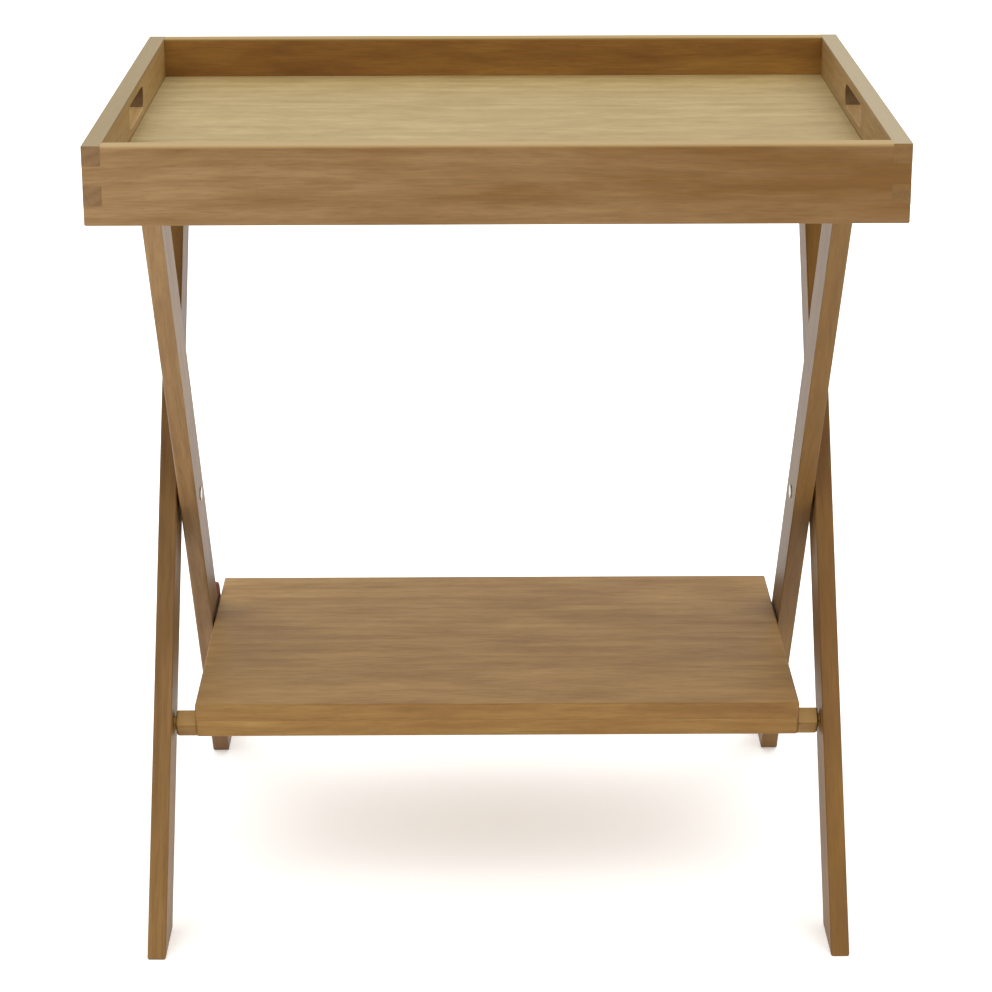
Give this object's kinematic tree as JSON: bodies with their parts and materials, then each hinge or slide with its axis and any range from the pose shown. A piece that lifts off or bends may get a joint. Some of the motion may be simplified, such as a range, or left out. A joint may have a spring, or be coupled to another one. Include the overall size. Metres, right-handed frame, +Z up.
{
  "type": "folding tray table",
  "caption": "Folding wooden side table: a lift-off tray with handle slots on crossing legs that fold, with a shelf near the feet.",
  "frame": {"origin": "on the floor under the middle of the tray", "axes": "+X along the tray to the right, +Y from the front to the back, +Z up"},
  "size_m": [0.65, 0.51, 0.708],
  "materials": {
    "tray_wood": "oiled satin",
    "tray_floor_wood": "oiled satin",
    "leg_wood": "oiled satin",
    "rail_wood": "oiled satin",
    "shelf_wood": "oiled satin",
    "dark_wood": "oiled satin",
    "pivot_steel": "nickel plated",
    "screw_steel": "yellow zinc plated"
  },
  "bodies": {
    "outer_frame": {"outer_leg_left": "leg_wood", "outer_leg_right": "leg_wood", "outer_top_rail": "rail_wood", "pivot_bolt_left": "pivot_steel", "pivot_bolt_right": "pivot_steel", "pivot_sleeve_left": "pivot_steel", "pivot_sleeve_right": "pivot_steel", "pivot_washer_left": "pivot_steel", "pivot_washer_right": "pivot_steel", "outer_rail_screws": "screw_steel"},
    "inner_frame": {"inner_leg_left": "leg_wood", "inner_leg_right": "leg_wood", "inner_top_rail": "rail_wood", "rear_shelf_rail": "rail_wood", "rear_stop_block": "dark_wood", "inner_rail_screws": "screw_steel", "rear_rail_screws": "screw_steel"},
    "shelf": {"shelf_panel": "shelf_wood", "shelf_front_strip": "shelf_wood", "shelf_turning_rail": "rail_wood", "shelf_rear_batten": "rail_wood", "turning_rail_screws": "screw_steel", "batten_screws": "screw_steel"},
    "tray": {"tray_front_board": "tray_wood", "tray_back_board": "tray_wood", "tray_left_board": "tray_wood", "tray_right_board": "tray_wood", "tray_floor": "tray_floor_wood"}
  },
  "joints": [
    {"name": "frame_fold", "type": "hinge", "parent": "outer_frame", "child": "inner_frame", "pos_m": [0, 0, 0.337], "axis": [-1, 0, 0], "range_deg": [0, 55]},
    {"name": "shelf_tilt", "type": "hinge", "parent": "outer_frame", "child": "shelf", "pos_m": [0, -0.1135, 0.16062], "axis": [1, 0, 0], "range_deg": [0, 55]},
    {"name": "tray_lift", "type": "slide", "parent": "outer_frame", "child": "tray", "axis": [0, 0, 1], "range_m": [0, 0.34]}
  ],
  "couplings": [
    {"joint": "shelf_tilt", "follows": "frame_fold", "ratio": 1},
    {"joint": "tray_lift", "follows": "frame_fold", "m_per_rad": 0.35}
  ]
}
